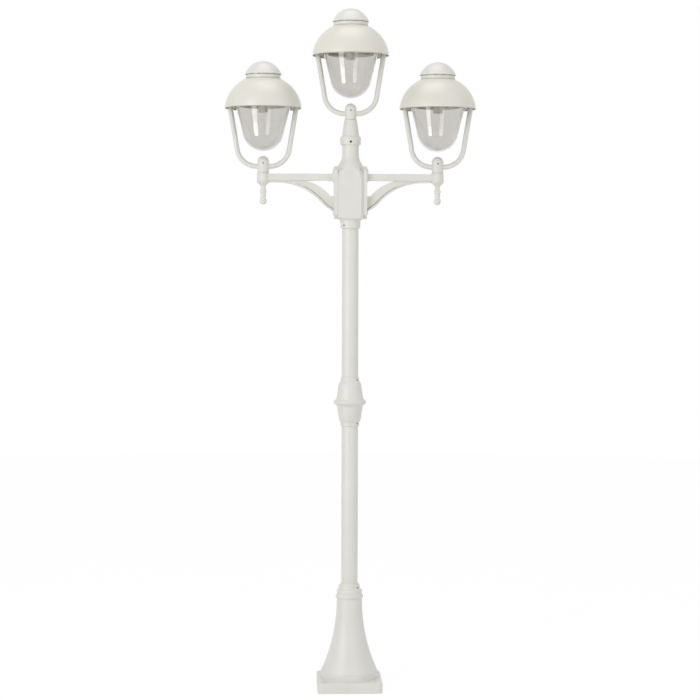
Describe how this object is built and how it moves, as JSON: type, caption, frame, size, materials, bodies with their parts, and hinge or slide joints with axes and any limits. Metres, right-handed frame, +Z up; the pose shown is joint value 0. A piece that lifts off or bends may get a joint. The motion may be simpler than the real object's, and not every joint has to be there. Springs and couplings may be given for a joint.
{
  "type": "triple head lamp post",
  "caption": "Garden lamp post in white powder-coated metal: square foot, round pole with a knop, crosshead with bracket arms, and hooded glass bell heads on forked yokes.",
  "frame": {"origin": "on the ground under the pole's axis", "axes": "+Z up along the pole, +X along the right-hand arm, -Y towards the viewer"},
  "size_m": [0.906, 0.276, 2.4626],
  "materials": {
    "white_coat": "warm white fine-textured powder coat on cast aluminium",
    "white_coat_tube": "warm white powder coat on drawn tube",
    "white_coat_sheet": "white powder coat on pressed sheet",
    "white_coat_hood": "warm white satin powder coat on spun aluminium",
    "screw_steel": "bare stainless steel",
    "black_screw": "black oxide steel grub screws",
    "coated_screw": "white coated screw heads",
    "zinc_steel": "bright zinc plated steel",
    "rubber": "matte black rubber",
    "smoked_glass": "clear glass with a light grey tint",
    "porcelain": "glazed white porcelain",
    "black_plastic": "black moulded plastic"
  },
  "bodies": {
    "post": {"base_casting": "white_coat", "lower_pole": "white_coat_tube", "knop_sleeve": "white_coat", "upper_pole": "white_coat_tube", "base_screws": "black_screw", "knop_screws": "black_screw"},
    "crosshead": {"crosshead_casting": "white_coat", "crosshead_screws": "black_screw", "terminal_block": "black_plastic", "left_arm": "white_coat", "right_arm": "white_coat", "arm_screws": "coated_screw", "top_adapter": "white_coat", "left_finial": "white_coat", "right_finial": "white_coat"},
    "left_head": {"left_yoke": "white_coat", "left_boss_screw": "screw_steel", "left_carrier": "zinc_steel", "left_lock_nuts": "zinc_steel", "left_gallery": "white_coat_sheet", "left_gallery_screws": "screw_steel", "left_gasket": "rubber", "left_glass_bell": "smoked_glass", "left_lampholder": "porcelain", "left_stud": "zinc_steel"},
    "left_hood": {"left_hood": "white_coat_hood", "left_vent_ring": "white_coat_hood"},
    "left_cap": {"left_cap": "white_coat_hood"},
    "centre_head": {"centre_yoke": "white_coat", "centre_boss_screw": "screw_steel", "centre_carrier": "zinc_steel", "centre_lock_nuts": "zinc_steel", "centre_gallery": "white_coat_sheet", "centre_gallery_screws": "screw_steel", "centre_gasket": "rubber", "centre_glass_bell": "smoked_glass", "centre_lampholder": "porcelain", "centre_stud": "zinc_steel"},
    "centre_hood": {"centre_hood": "white_coat_hood", "centre_vent_ring": "white_coat_hood"},
    "centre_cap": {"centre_cap": "white_coat_hood"},
    "right_head": {"right_yoke": "white_coat", "right_boss_screw": "screw_steel", "right_carrier": "zinc_steel", "right_lock_nuts": "zinc_steel", "right_gallery": "white_coat_sheet", "right_gallery_screws": "screw_steel", "right_gasket": "rubber", "right_glass_bell": "smoked_glass", "right_lampholder": "porcelain", "right_stud": "zinc_steel"},
    "right_hood": {"right_hood": "white_coat_hood", "right_vent_ring": "white_coat_hood"},
    "right_cap": {"right_cap": "white_coat_hood"}
  },
  "joints": [
    {"name": "crosshead_turn", "type": "hinge", "parent": "post", "child": "crosshead", "pos_m": [0, 0, 1.7], "axis": [0, 0, 1], "range_deg": [-170, 170]},
    {"name": "left_head_turn", "type": "hinge", "parent": "crosshead", "child": "left_head", "pos_m": [-0.315, 0, 1.8725], "axis": [0, 0, 1], "range_deg": [-90, 90]},
    {"name": "left_hood_lift", "type": "slide", "parent": "left_head", "child": "left_hood", "axis": [0, 0, 1], "range_m": [0, 0.16]},
    {"name": "left_cap_turn", "type": "hinge", "parent": "left_hood", "child": "left_cap", "pos_m": [-0.315, 0, 2.2225], "axis": [0, 0, 1], "continuous": true},
    {"name": "centre_head_turn", "type": "hinge", "parent": "crosshead", "child": "centre_head", "pos_m": [0, 0, 2.063], "axis": [0, 0, 1], "range_deg": [-90, 90]},
    {"name": "centre_hood_lift", "type": "slide", "parent": "centre_head", "child": "centre_hood", "axis": [0, 0, 1], "range_m": [0, 0.16]},
    {"name": "centre_cap_turn", "type": "hinge", "parent": "centre_hood", "child": "centre_cap", "pos_m": [0, 0, 2.413], "axis": [0, 0, 1], "continuous": true},
    {"name": "right_head_turn", "type": "hinge", "parent": "crosshead", "child": "right_head", "pos_m": [0.315, 0, 1.8725], "axis": [0, 0, 1], "range_deg": [-90, 90]},
    {"name": "right_hood_lift", "type": "slide", "parent": "right_head", "child": "right_hood", "axis": [0, 0, 1], "range_m": [0, 0.16]},
    {"name": "right_cap_turn", "type": "hinge", "parent": "right_hood", "child": "right_cap", "pos_m": [0.315, 0, 2.2225], "axis": [0, 0, 1], "continuous": true}
  ]
}
